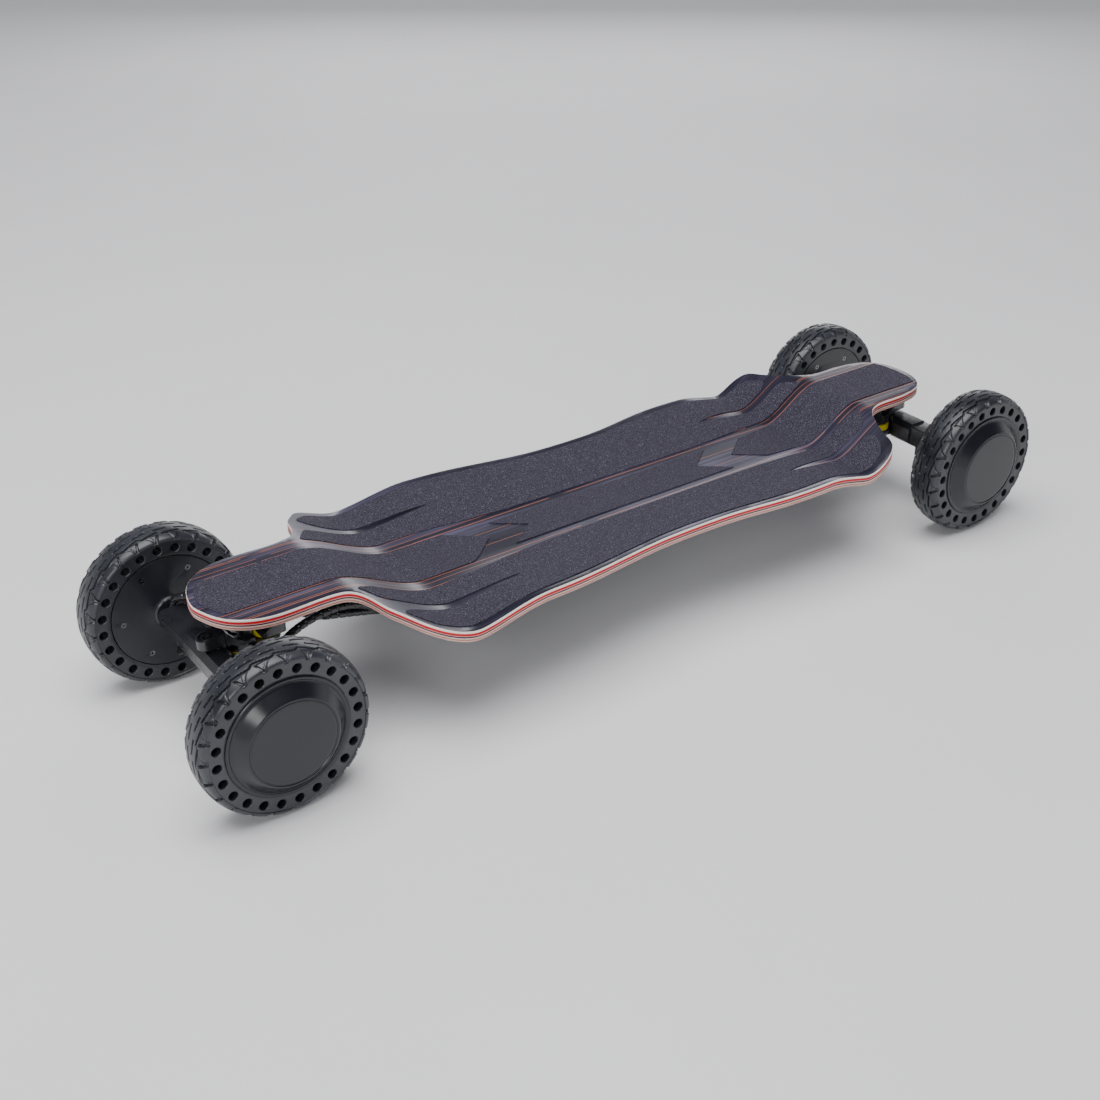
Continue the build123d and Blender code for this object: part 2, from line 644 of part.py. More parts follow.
def port_hinge():
    """Two ears on the box and the pin between them, over the charge port."""
    x, z = PORT_HINGE
    ears = [block(BOX_X, x + 1.2, PORT_Y + y0, PORT_Y + y0 + 2, z - 1.4, z + 1.4)
            for y0 in (-6, 4)]
    pin = Plane(origin=(x, PORT_Y - 6, z), z_dir=(0, 1, 0)) * Circle(0.8)
    return ears[0] + ears[1] + extrude(pin, 12)


def charge_port_cap():
    """Round flap that hangs on its pin and covers the socket."""
    x, z = PORT_HINGE
    face = BOX_X + 0.5 + PORT_CAP_GAP
    flap = on_panel(PORT_Y, PANEL_Z, 7.5, face, face + 2)
    flap += block(face, face + 2, PORT_Y - 3.5, PORT_Y + 3.5, PANEL_Z, z)
    knuckle = extrude(Plane(origin=(x, PORT_Y - 3.5, z), z_dir=(0, 1, 0)) * Circle(1.8), 7)
    bore = extrude(Plane(origin=(x, PORT_Y - 5, z), z_dir=(0, 1, 0)) * Circle(0.8 + PORT_CAP_PLAY), 10)
    return flap + knuckle - bore


# ---- motor leads ----
def lead(points, name):
    """Round lead along straight runs and tangent arcs; prints its arcs and its volume."""
    nodes = [Vector(p) for p in points]
    radii = []
    for before, node, after in zip(nodes, nodes[1:], nodes[2:]):
        turn = radians((node - before).get_angle(after - node))
        shorter = min((node - before).length, (after - node).length)
        radii.append(0.45 * shorter / tan(turn / 2))
    path = FilletPolyline(*nodes, radius=radii)
    start = Plane(origin=nodes[0], z_dir=nodes[1] - nodes[0])
    cable = sweep(start * Circle(LEAD_R), path=path)
    expected = pi * LEAD_R ** 2 * path.length
    print(f"{name}: length {path.length:.1f}, volume ratio {cable.volume / expected:.4f}, "
          f"radii {[round(r, 1) for r in radii]}")
    return cable


def bar(start, end, radius):
    """Round bar between two points."""
    a, b = Vector(start), Vector(end)
    return extrude(Plane(origin=a, z_dir=b - a) * Circle(radius), (b - a).length)


def lead_clips():
    """Two saddles on brackets that hold the leads beside the arm."""
    clips = []
    for outer, inner in ((NEAR_OUTER, NEAR_INNER), (FAR_OUTER, FAR_INNER)):
        (x, y, z), before, after = inner[0], outer[-2], inner[1]
        along = Vector(x, y, z) - Vector(before)
        saddle = extrude(Plane(origin=(x, y, z), z_dir=along) * Circle(LEAD_R + 2), 4, both=True)
        sign = 1 if y > 0 else -1
        reach = sorted((sign * ARM_HALF, y))
        bracket = block(-442, -436, *reach, 103, 106)
        upright = block(-442, x, *sorted((y - 3, y + 3)), 103, z)
        hollow = bar((x, y, z), before, LEAD_R + 0.1) + bar((x, y, z), after, LEAD_R + 0.1)
        clips.append(saddle + bracket + upright - hollow)
    return clips


# ---- placing ----
def at_end(shape, side):
    """Turn a truck part to the rear (-1) or leave it at the front (1)."""
    if isinstance(shape, list):
        return [at_end(one, side) for one in shape]
    return shape if side > 0 else shape.rotate(Axis.Z, 180)


def at_wheel(shape, side, hand):
    """Move a wheel part from the Y axis to its axle; hand 1 is left, -1 is right."""
    if isinstance(shape, list):
        return [at_wheel(one, side, hand) for one in shape]
    turned_part = shape if hand > 0 else shape.rotate(Axis.Z, 180)
    return Pos(side * WHEELBASE_HALF, 0, AXLE_Z) * turned_part


ENDS = (("rear", -1), ("front", 1))
HANDS = (("left", 1), ("right", -1))


def save_board():
    board = deck()
    save(board, "deck")
    save(grip_tape(), "grip_tape")
    save(deck_inserts(), "deck_inserts")
    save(battery_box() + port_hinge(), "battery_box")
    save(box_gasket(board), "box_gasket")
    save(box_screws(), "box_screws")
    save(battery_cells(), "battery_cells")
    save(battery_board(), "battery_board")
    save(speed_controller(), "speed_controller")
    save(power_button(), "power_button")
    save(charge_port(), "charge_port")
    save(charge_port_cap(), "charge_port_cap")


def save_trucks():
    save([at_end(riser_pad(), side) for _, side in ENDS], "riser_pads")
    save([at_end(inner_kingpin(), side) for _, side in ENDS], "inner_kingpins")
    save([at_end(inner_nut(), side) for _, side in ENDS], "inner_kingpin_nuts")
    save([truck_bolt(x, y) for x, y in truck_bolt_places()], "truck_bolts")
    for end, side in ENDS:
        save(at_end(baseplate(), side), f"{end}_baseplate")
        save(at_end(inner_bushings(), side), f"{end}_inner_bushings")
        save(at_end(outer_bushings(), side), f"{end}_outer_bushings")
        save(at_end(arm(), side), f"{end}_arm")
        save(at_end(outer_kingpin(), side), f"{end}_outer_kingpin")
        save(at_end(arm_hardware(), side), f"{end}_arm_hardware")
        save(at_end(hanger(), side), f"{end}_hanger")
        save(at_end([clamp_bolt(sign) for _, sign in HANDS], side), f"{end}_clamp_bolts")
        save(at_end([axle(sign) for _, sign in HANDS], side), f"{end}_axles")
    save(at_end([stator(sign) for _, sign in HANDS], -1), "motor_stators")


def save_wheels():
    pieces = {"tyre": tyre(), "hub": hub_shell(), "inner_cover": inner_cover(),
              "cover_screws": cover_screws(), "bearings": bearings()}
    for end, side in ENDS:
        for hand_name, hand in HANDS:
            for name, piece in pieces.items():
                save(at_wheel(piece, side, hand), f"{end}_{hand_name}_{name}")
    for hand_name, hand in HANDS:
        save(at_wheel(magnet_ring(), -1, hand), f"rear_{hand_name}_magnets")


def save_leads():
    save([lead(NEAR_OUTER, "near outer"), lead(FAR_OUTER, "far outer")], "motor_leads_outer")
    save([lead(NEAR_INNER, "near inner"), lead(FAR_INNER, "far inner")], "motor_leads_inner")
    save(lead_clips(), "lead_clips")


def main():
    os.makedirs("parts", exist_ok=True)
    save_board()
    save_trucks()
    save_wheels()
    save_leads()


if __name__ == "__main__":
    main()
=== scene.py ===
"""Looks of the electric skateboard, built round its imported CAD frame.

+X is the front and +Z is up. The scene is in metres; shapes are worked out in millimetres."""
from math import cos, hypot, pi, radians, sin

import bmesh
import bpy
import numpy as np
from mathutils import Matrix, Vector
from mathutils.geometry import delaunay_2d_cdt


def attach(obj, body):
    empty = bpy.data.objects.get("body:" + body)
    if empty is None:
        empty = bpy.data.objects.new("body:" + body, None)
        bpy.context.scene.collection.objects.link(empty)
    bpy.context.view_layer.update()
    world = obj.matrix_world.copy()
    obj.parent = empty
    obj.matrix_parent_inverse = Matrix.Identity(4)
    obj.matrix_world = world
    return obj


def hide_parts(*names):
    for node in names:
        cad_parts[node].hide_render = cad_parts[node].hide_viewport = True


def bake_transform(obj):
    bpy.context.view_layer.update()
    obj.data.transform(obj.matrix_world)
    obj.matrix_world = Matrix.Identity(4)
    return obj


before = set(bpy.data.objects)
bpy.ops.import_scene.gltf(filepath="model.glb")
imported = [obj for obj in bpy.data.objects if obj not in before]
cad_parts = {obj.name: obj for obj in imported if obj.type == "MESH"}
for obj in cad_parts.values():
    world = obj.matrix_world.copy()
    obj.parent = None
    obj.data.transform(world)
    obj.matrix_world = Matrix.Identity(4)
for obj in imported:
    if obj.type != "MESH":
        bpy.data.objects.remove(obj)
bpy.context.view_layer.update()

MM = 0.001

# ---- camera ----
CAMERA_AT = Vector((-0.93141, -1.20800, 0.93195))
CAMERA_AZIMUTH = radians(-35.533)
CAMERA_ELEVATION = radians(29.917)
CAMERA_ROLL = radians(-0.045)
LENS_MM = 50.27

# ---- deck, millimetres: the same surface as the CAD deck ----
NOSE_Z, FLOOR_Z, DECK_T = 158.0, 120.0, 12.5
REAR_DROP, FRONT_DROP = (-362.0, -250.0), (364.0, 282.0)
FLARE_SLOPE, FLARE_Y, FLARE_BLEND = 0.13, 38.0, 15.0
FLARE_REAR, FLARE_FRONT = (-268.0, -168.0), (305.0, 225.0)
GRIP_T = 0.9
GRIP_ROUND = 0.3                    # rounding of a panel's upper edge, downwards
GRIP_INSET = 0.25                   # and inwards
GRIP_SUNK = 0.4                     # a panel's under side below the veneer
GRIP_STEP = 4.0
OUTLINE_STEP = 3.0
GRID_STEP = 6.0

# ---- wheels, millimetres ----
TYRE_R, TYRE_HALF, RIM_R = 87.5, 21.5, 63.2
SEAT_HALF = TYRE_HALF - 1.8         # half width of the tyre where it sits on the rim
BEAD_R = RIM_R + 2.6                # inner radius of the flat side wall
TRACK_HALF, WHEELBASE_HALF = 133.25, 470.0
PITCHES = 24
HOLE_CIRCLE, HOLE_R = 71.8, 4.7
TREAD_EDGE_R = 79.5
WALL_R = TREAD_EDGE_R - 0.5         # outer radius of the flat side wall
LOBE_H = 0.50                       # height of a shoulder lobe, as part of the half profile
STAIR = 0.12                        # rise of the stepped groove, as part of the half profile
RING_SINK = 0.8                     # holed ring under the shoulder lobes
WALL_Y = TYRE_HALF - RING_SINK
HOLE_ROUND = 0.5                    # rounded edge of a hole
COLUMNS, ROWS = 36, 96              # mesh of one tread pitch: round the wheel and across
WHEEL_TURN = {-1: 4.0, 1: 9.0}      # degrees the rear and front wheels are turned, as seen
FACE_Y = 154.2

ENDS = (("rear", -1), ("front", 1))
HANDS = (("left", 1), ("right", -1))


# ---------------------------------------------------------------- materials
def new_material(name):
    mat = bpy.data.materials.new(name)
    mat.use_nodes = True
    nodes, links = mat.node_tree.nodes, mat.node_tree.links
    return mat, nodes, links, nodes["Principled BSDF"]


def coords(nodes, links, scale):
    """Object coordinates in metres, times a scale."""
    place = nodes.new("ShaderNodeTexCoord")
    stretch = nodes.new("ShaderNodeMapping")
    stretch.inputs["Scale"].default_value = scale
    links.new(place.outputs["Object"], stretch.inputs["Vector"])
    return stretch.outputs["Vector"]


def noise(nodes, links, scale, size=1.0, detail=4.0, roughness=0.55):
    texture = nodes.new("ShaderNodeTexNoise")
    texture.inputs["Scale"].default_value = size
    texture.inputs["Detail"].default_value = detail
    texture.inputs["Roughness"].default_value = roughness
    links.new(coords(nodes, links, scale), texture.inputs["Vector"])
    return texture.outputs["Fac"]


def ramp(nodes, links, value, stops):
    node = nodes.new("ShaderNodeValToRGB")
    while len(node.color_ramp.elements) < len(stops):
        node.color_ramp.elements.new(0.5)
    for element, (at, color) in zip(node.color_ramp.elements, stops):
        element.position = at
        element.color = (*color, 1)
    links.new(value, node.inputs["Fac"])
    return node.outputs["Color"]


def math_node(nodes, links, operation, *values):
    node = nodes.new("ShaderNodeMath")
    node.operation = operation
    for socket, value in zip(node.inputs, values):
        if isinstance(value, (int, float)):
            socket.default_value = value
        else:
            links.new(value, socket)
    return node.outputs["Value"]


def bump(nodes, links, bsdf, height, strength, distance):
    node = nodes.new("ShaderNodeBump")
    node.inputs["Strength"].default_value = strength
    node.inputs["Distance"].default_value = distance
    links.new(height, node.inputs["Height"])
    links.new(node.outputs["Normal"], bsdf.inputs["Normal"])


def mottled(name, dark, light, rough, size, metallic=0.0, coat=0.0, coat_rough=0.2,
            bump_mm=0.05, bump_size=900.0, specular=0.5, spread=0.06):
    """Surface whose colour and roughness drift a little, with a fine cast or moulded texture."""
    mat, nodes, links, bsdf = new_material(name)
    drift = noise(nodes, links, (1, 1, 1), size, 5.0)
    links.new(ramp(nodes, links, drift, [(0.3, dark), (0.7, light)]), bsdf.inputs["Base Color"])
    patches = ramp(nodes, links, drift, [(0.3, (rough - spread,) * 3), (0.75, (rough + spread,) * 3)])
    links.new(patches, bsdf.inputs["Roughness"])
    bsdf.inputs["Metallic"].default_value = metallic
    bsdf.inputs["Coat Weight"].default_value = coat
    bsdf.inputs["Coat Roughness"].default_value = coat_rough
    bsdf.inputs["Specular IOR Level"].default_value = specular
    bump(nodes, links, bsdf, noise(nodes, links, (1, 1, 1), bump_size, 3.0), 0.6, bump_mm * MM)
    return mat


# distance from the middle line and half width, in millimetres
PINSTRIPES = ((36.2, 0.6), (54.8, 0.6), (52.2, 0.4), (43.5, 0.4), (12.0, 0.4), (83.8, 0.4))
COPPER = (0.42, 0.15, 0.085, 1)


def veneer_stain_and_sheen(name):
    """Dark printed wood veneer under lacquer: streaks along the board and copper pinstripes.
    The dark end of the streaks is the veneer's own tone; their light lilac end is painted sheen.
    """
    mat, nodes, links, bsdf = new_material(name)
    streak = noise(nodes, links, (3, 210, 3), 1.0, 6.0, 0.62)
    cloud = noise(nodes, links, (5, 16, 1), 1.0, 3.0)
    mixed = math_node(nodes, links, "MULTIPLY_ADD", cloud, 0.55,
                      math_node(nodes, links, "MULTIPLY", streak, 0.62))
    # dark and mid are the veneer's grain tone; the light lilac stop is painted sheen
    dark, mid, light = (0.004, 0.004, 0.009), (0.020, 0.018, 0.034), (0.120, 0.110, 0.170)
    wood = ramp(nodes, links, mixed, [(0.42, dark), (0.60, mid), (0.80, light)])
    place = nodes.new("ShaderNodeTexCoord")
    parts = nodes.new("ShaderNodeSeparateXYZ")
    links.new(place.outputs["Object"], parts.inputs["Vector"])
    across = math_node(nodes, links, "ABSOLUTE", parts.outputs["Y"])
    total = None
    for centre, half in PINSTRIPES:
        offset = math_node(nodes, links, "SUBTRACT", across, centre * MM)
        gap = math_node(nodes, links, "ABSOLUTE", offset)
        line = math_node(nodes, links, "LESS_THAN", gap, half * MM)
        total = line if total is None else math_node(nodes, links, "MAXIMUM", total, line)
    worn = math_node(nodes, links, "GREATER_THAN", noise(nodes, links, (14, 60, 1), 1.0, 2.0), 0.36)
    total = math_node(nodes, links, "MULTIPLY", math_node(nodes, links, "MULTIPLY", total, worn), 0.75)
    blend = nodes.new("ShaderNodeMix")
    blend.data_type = "RGBA"
    links.new(total, blend.inputs["Factor"])
    links.new(wood, blend.inputs["A"])
    blend.inputs["B"].default_value = COPPER
    links.new(blend.outputs["Result"], bsdf.inputs["Base Color"])
    bsdf.inputs["Roughness"].default_value = 0.29
    bsdf.inputs["Specular IOR Level"].default_value = 0.42
    bsdf.inputs["Coat Weight"].default_value = 0.2
    bsdf.inputs["Coat Tint"].default_value = (0.80, 0.78, 1.0, 1)
    bsdf.inputs["Coat Roughness"].default_value = 0.15
    bump(nodes, links, bsdf, streak, 0.25, 0.10 * MM)
    return mat


def grip_sheet():
    """Coarse black grit, with lilac glints of light painted into its colour."""
    mat, nodes, links, bsdf = new_material("grip_grit")
    grain = noise(nodes, links, (1, 1, 1), 820.0, 3.0, 0.7)
    grit = nodes.new("ShaderNodeTexVoronoi")
    grit.inputs["Scale"].default_value = 980.0
    links.new(coords(nodes, links, (1, 1, 1)), grit.inputs["Vector"])
    mixed = math_node(nodes, links, "MULTIPLY_ADD", grit.outputs["Distance"], 0.5,
                      math_node(nodes, links, "MULTIPLY", grain, 0.72))
    # the top, lilac stop is painted glints of light on the grit; the lower stops are the grit's tone
    stops = [(0.38, (0.007, 0.006, 0.010)), (0.58, (0.026, 0.023, 0.036)),
             (0.72, (0.056, 0.050, 0.078)), (0.88, (0.17, 0.155, 0.22))]
    links.new(ramp(nodes, links, mixed, stops), bsdf.inputs["Base Color"])
    bsdf.inputs["Roughness"].default_value = 0.75
    bsdf.inputs["Specular IOR Level"].default_value = 0.25
    bump(nodes, links, bsdf, mixed, 0.9, 0.5 * MM)
    return mat


def ply(name, dark, light):
    """End grain of one ply, with its fibres along the board and a satin lacquer."""
    mat, nodes, links, bsdf = new_material(name)
    fibre = noise(nodes, links, (30, 30, 900), 1.0, 4.0, 0.6)
    links.new(ramp(nodes, links, fibre, [(0.3, dark), (0.7, light)]), bsdf.inputs["Base Color"])
    bsdf.inputs["Roughness"].default_value = 0.55
    bsdf.inputs["Specular IOR Level"].default_value = 0.2
    bump(nodes, links, bsdf, fibre, 0.15, 0.1 * MM)
    return mat


def urethane():
    """Cloudy yellow bushing, a little translucent."""
    mat, nodes, links, bsdf = new_material("urethane_yellow")
    cloud = noise(nodes, links, (1, 1, 1), 60.0, 3.0)
    stops = [(0.3, (0.74, 0.60, 0.006)), (0.7, (0.92, 0.80, 0.02))]
    links.new(ramp(nodes, links, cloud, stops), bsdf.inputs["Base Color"])
    bsdf.inputs["Roughness"].default_value = 0.33
    bsdf.inputs["Subsurface Weight"].default_value = 0.15
    bsdf.inputs["Subsurface Scale"].default_value = 2 * MM
    bump(nodes, links, bsdf, noise(nodes, links, (1, 1, 1), 500.0), 0.2, 0.05 * MM)
    return mat


MATS = {
    "veneer": veneer_stain_and_sheen("printed_veneer"),
    "grip": grip_sheet(),
    "white_ply": ply("ply_white", (0.86, 0.76, 0.68), (0.98, 0.92, 0.87)),
    "red_ply": ply("ply_red", (0.50, 0.008, 0.012), (0.68, 0.020, 0.028)),
    "pink_ply": ply("ply_pink", (0.62, 0.27, 0.25), (0.78, 0.42, 0.38)),
    "navy_ply": ply("ply_navy", (0.012, 0.008, 0.030), (0.040, 0.024, 0.075)),
    "cream_ply": ply("ply_cream", (0.62, 0.44, 0.35), (0.80, 0.62, 0.52)),
    "brown_ply": ply("ply_brown", (0.30, 0.13, 0.11), (0.46, 0.24, 0.20)),
    "tyre": mottled("tyre_rubber", (0.009, 0.010, 0.014), (0.026, 0.029, 0.038), 0.36, 22.0,
                    bump_mm=0.05, bump_size=1400.0, specular=0.75),
    "hub": mottled("hub_satin_black", (0.007, 0.007, 0.011), (0.011, 0.012, 0.017), 0.25, 12.0,
                   coat=0.2, bump_mm=0.004, bump_size=2500.0, specular=0.45, spread=0.015),
    "cover": mottled("cover_satin_black", (0.010, 0.011, 0.015), (0.017, 0.018, 0.024), 0.30, 12.0,
                     bump_mm=0.004, bump_size=2500.0, specular=0.6, spread=0.015),
    "cast": mottled("cast_black", (0.009, 0.009, 0.012), (0.017, 0.018, 0.023), 0.30, 40.0,
                    coat=0.3, coat_rough=0.25, bump_mm=0.05, bump_size=700.0, specular=0.7),
    "steel": mottled("zinc_steel", (0.36, 0.36, 0.38), (0.60, 0.60, 0.62), 0.28, 90.0,
                     metallic=1.0, bump_mm=0.02),
    "dark_steel": mottled("blackened_steel", (0.045, 0.045, 0.050), (0.10, 0.10, 0.11), 0.30, 90.0,
                          metallic=0.9, bump_mm=0.02),
    "axle": mottled("ground_axle", (0.10, 0.10, 0.11), (0.24, 0.24, 0.26), 0.22, 200.0,
                    metallic=1.0, bump_mm=0.02),
    "core": mottled("varnished_core", (0.20, 0.10, 0.05), (0.34, 0.19, 0.10), 0.40, 150.0,
                    metallic=0.6),
    "magnet": mottled("nickel_magnet", (0.42, 0.42, 0.44), (0.62, 0.62, 0.64), 0.25, 120.0,
                      metallic=1.0),
    "urethane": urethane(),
    "pad": mottled("pad_rubber", (0.010, 0.010, 0.011), (0.022, 0.022, 0.024), 0.65, 70.0,
                   bump_mm=0.2, bump_size=500.0),
    "box": mottled("box_moulding", (0.010, 0.010, 0.011), (0.018, 0.018, 0.020), 0.55, 30.0,
                   bump_mm=0.25, bump_size=650.0),
    "cell": mottled("cell_sleeve", (0.03, 0.10, 0.30), (0.05, 0.15, 0.42), 0.30, 40.0, coat=0.3),
    "board": mottled("solder_mask", (0.005, 0.08, 0.03), (0.01, 0.15, 0.06), 0.35, 150.0),
    "aluminium": mottled("blasted_aluminium", (0.55, 0.55, 0.57), (0.70, 0.70, 0.72), 0.42, 100.0,
                         metallic=1.0, bump_mm=0.1),
    "wrap": mottled("spiral_wrap", (0.006, 0.006, 0.007), (0.016, 0.016, 0.018), 0.28, 90.0,
                    coat=0.3, bump_mm=0.05),
}


# ---------------------------------------------------------------- mesh helpers
def make_object(name, verts, faces, mats, indices=None, scale=MM, sharp=38.0):
    mesh = bpy.data.meshes.new(name)
    mesh.from_pydata([tuple(c * scale for c in v) for v in verts], [], faces)
    for mat in mats:
        mesh.materials.append(mat)
    if indices is not None:
        mesh.polygons.foreach_set("material_index", indices)
    obj = bpy.data.objects.new(name, mesh)
    bpy.context.scene.collection.objects.link(obj)
    clean_normals(mesh)
    shade(mesh, sharp)
    return obj


def clean_normals(mesh, merge=1e-6):
    bm = bmesh.new()
    bm.from_mesh(mesh)
    bmesh.ops.remove_doubles(bm, verts=bm.verts, dist=merge)
    bmesh.ops.recalc_face_normals(bm, faces=bm.faces)
    bm.to_mesh(mesh)
    bm.free()


def shade(mesh, sharp):
    mesh.shade_smooth()
    mesh.set_sharp_from_angle(angle=radians(sharp))


def refined(node, mat, bevel=0.8, segments=3, angle=32.0):
    """Copy of a hard CAD part with its flats joined and its edges rounded."""
    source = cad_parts[node]
    mesh = source.data.copy()
    mesh.materials.clear()
    mesh.materials.append(mat)
    bm = bmesh.new()
    bm.from_mesh(mesh)
    bmesh.ops.remove_doubles(bm, verts=bm.verts, dist=2e-6)
    bmesh.ops.dissolve_limit(bm, angle_limit=radians(1.5), verts=bm.verts, edges=bm.edges)
    bm.to_mesh(mesh)
    bm.free()
    shade(mesh, 40.0)
    obj = bpy.data.objects.new(node + "_finish", mesh)
    bpy.context.scene.collection.objects.link(obj)
    if bevel:
        rounder = obj.modifiers.new("edge", "BEVEL")
        rounder.width = bevel * MM
        rounder.segments = segments
        rounder.limit_method = "ANGLE"
        rounder.angle_limit = radians(angle)
        rounder.use_clamp_overlap = True
        rounder.harden_normals = True
        bake_modifiers(obj)
    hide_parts(node)
    return obj


def bake_modifiers(obj):
    depsgraph = bpy.context.evaluated_depsgraph_get()
    mesh = bpy.data.meshes.new_from_object(obj.evaluated_get(depsgraph))
    obj.modifiers.clear()
    obj.data = mesh


def strips(base, count, width):
    """Faces between the neighbours of a closed ring of columns, each of width points."""
    faces = []
    for i in range(count):
        low, ahead = base + i * width, base + (i + 1) % count * width
        faces += [(low + k, ahead + k, ahead + k + 1, low + k + 1) for k in range(width - 1)]
    return faces


def lathe(profile, segments=160):
    """Vertices and faces of a profile of radius and Y turned about the Y axis."""
    verts, faces = [], []
    for i in range(segments):
        a = 2 * pi * i / segments
        verts += [(r * cos(a), y, r * sin(a)) for r, y in profile]
    n = len(profile)
    for i in range(segments):
        j = (i + 1) % segments
        for k in range(n):
            m = (k + 1) % n
            faces.append((i * n + k, j * n + k, j * n + m, i * n + m))
    return verts, faces


# ---------------------------------------------------------------- deck
def smooth(t):
    t = min(max(t, 0.0), 1.0)
    return t * t * (3 - 2 * t)


def deck_z(x, y):
    start, end = REAR_DROP if x < 0 else FRONT_DROP
    floor = NOSE_Z - (NOSE_Z - FLOOR_Z) * smooth((x - start) / (end - start))
    rear = smooth((x - FLARE_REAR[0]) / (FLARE_REAR[1] - FLARE_REAR[0]))
    front = smooth((x - FLARE_FRONT[0]) / (FLARE_FRONT[1] - FLARE_FRONT[0]))
    out = abs(y) - FLARE_Y
    if out < -FLARE_BLEND:
        rise = 0.0
    elif out < FLARE_BLEND:
        rise = (out + FLARE_BLEND) ** 2 / (4 * FLARE_BLEND)
    else:
        rise = out
    return floor + FLARE_SLOPE * rise * rear * front


def deck_outline():
    """Edge of the CAD deck's top face, as an ordered loop in millimetres, evenly spaced."""
    bm = bmesh.new()
    bm.from_mesh(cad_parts["deck"].data)
    bmesh.ops.remove_doubles(bm, verts=bm.verts, dist=2e-6)
    bm.normal_update()
    rim = {}
    for edge in bm.edges:
        if len(edge.link_faces) == 2:
            up = sorted(face.normal.z for face in edge.link_faces)
            if up[0] < 0.3 and up[1] > 0.5:
                a, b = edge.verts
                rim.setdefault(a.index, []).append(b.index)
                rim.setdefault(b.index, []).append(a.index)
    bm.verts.ensure_lookup_table()
    start = min(rim, key=lambda i: bm.verts[i].co.x)
    loop, previous = [start], None
    while True:
        ahead = [i for i in rim[loop[-1]] if i != previous]
        previous = loop[-1]
        if ahead[0] == start:
            break
        loop.append(ahead[0])
    points = np.array([bm.verts[i].co.xy for i in loop]) / MM
    bm.free()
    return respace(points, OUTLINE_STEP)


def respace(points, step):
    """Closed loop through the points at even steps, smoothed a little."""
    closed = np.vstack([points, points[:1]])
    run = np.concatenate([[0], np.cumsum(np.hypot(*np.diff(closed, axis=0).T))])
    count = int(run[-1] / step)
    at = np.linspace(0, run[-1], count, endpoint=False)
    even = np.column_stack([np.interp(at, run, closed[:, 0]), np.interp(at, run, closed[:, 1])])
    for _ in range(3):
        even = 0.5 * even + 0.25 * (np.roll(even, 1, axis=0) + np.roll(even, -1, axis=0))
    return even


def loop_normals(loop):
    """Outward directions of a closed loop in the plane."""
    along = np.roll(loop, -1, axis=0) - np.roll(loop, 1, axis=0)
    along /= np.hypot(*along.T)[:, None]
    out = np.column_stack([along[:, 1], -along[:, 0]])
    area = np.sum(loop[:, 0] * np.roll(loop[:, 1], -1) - np.roll(loop[:, 0], -1) * loop[:, 1])
    return out if area > 0 else -out


def inside(points, loop):
    """Which points lie in a closed loop."""
    x, y = points[:, 0], points[:, 1]
    found = np.zeros(len(points), bool)
    for (x0, y0), (x1, y1) in zip(loop, np.roll(loop, -1, axis=0)):
        if y0 != y1:
            crosses = ((y0 > y) != (y1 > y)) & (x < (x1 - x0) * (y - y0) / (y1 - y0) + x0)
            found ^= crosses
    return found


def sheet_mesh(loop, grid):
    """Triangles that fill a loop, with grid points inside. Loop points come first."""
    low, high = loop.min(0), loop.max(0)
    xs = np.arange(low[0] + grid / 2, high[0], grid)
    ys = np.arange(low[1] + grid / 2, high[1], grid)
    cloud = np.array([(x, y) for x in xs for y in ys])
    kept = cloud[inside(cloud, loop)]
    clear = np.array([np.min(np.hypot(*(loop - p).T)) > grid * 0.45 for p in kept])
    points = np.vstack([loop, kept[clear]]) if len(kept) else loop
    n = len(loop)
    edges = [(i, (i + 1) % n) for i in range(n)]
    verts, _, faces, *_ = delaunay_2d_cdt([Vector(p) for p in points], edges, [], 1, 1e-5)
    return [(v.x, v.y) for v in verts], [tuple(f) for f in faces], n


# depth under the top face in mm, inset from the outline in mm, ply
EDGE_ROWS = [
    (0.0, 1.3, None), (0.25, 0.55, "veneer"), (0.8, 0.12, "white_ply"), (1.6, 0, "white_ply"),
    (2.6, 0, "white_ply"), (4.0, 0, "red_ply"), (5.2, 0, "red_ply"), (6.1, 0, "pink_ply"),
    (7.5, 0, "navy_ply"), (9.2, 0, "cream_ply"), (10.2, 0, "brown_ply"), (11.2, 0, "pink_ply"),
    (11.9, 0.3, "cream_ply"), (12.3, 0.8, "cream_ply"), (12.5, 1.4, "cream_ply"),
]
PLIES = ["veneer", "white_ply", "red_ply", "pink_ply", "navy_ply", "cream_ply", "brown_ply"]


def build_deck():
    outline = deck_outline()
    out = loop_normals(outline)
    top_loop = outline - out * EDGE_ROWS[0][1]
    flat, faces, n = sheet_mesh(top_loop, GRID_STEP)
    verts = [(x, y, deck_z(x, y)) for x, y in flat]
    top = list(faces)
    index = [0] * len(faces)
    previous = list(range(n))
    for depth, inset, name in EDGE_ROWS[1:]:
        row = outline - out * inset
        start = len(verts)
        for (x, y), (ox, oy) in zip(row, outline):
            verts.append((x, y, deck_z(ox, oy) - depth))
        for i in range(n):
            j = (i + 1) % n
            faces.append((previous[i], previous[j], start + j, start + i))
            index.append(PLIES.index(name))
        previous = list(range(start, start + n))
    start = len(verts)
    lower = {}
    for i, (x, y) in enumerate(flat):
        if i < n:
            lower[i] = previous[i]
        else:
            lower[i] = start + i - n
            verts.append((x, y, deck_z(x, y) - DECK_T))
    for face in top:
        faces.append(tuple(lower[i] for i in reversed(face)))
        index.append(0)
    deck = make_object("deck_shell", verts, faces, [MATS[p] for p in PLIES], index, sharp=30)
    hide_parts("deck")
    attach(deck, "board")


def softened(points, rounds):
    """Closed polygon with its corners cut again and again."""
    loop = np.array(points, float)
    for _ in range(rounds):
        ahead = np.roll(loop, -1, axis=0)
        loop = np.stack([0.8 * loop + 0.2 * ahead, 0.2 * loop + 0.8 * ahead], 1).reshape(-1, 2)
    return loop


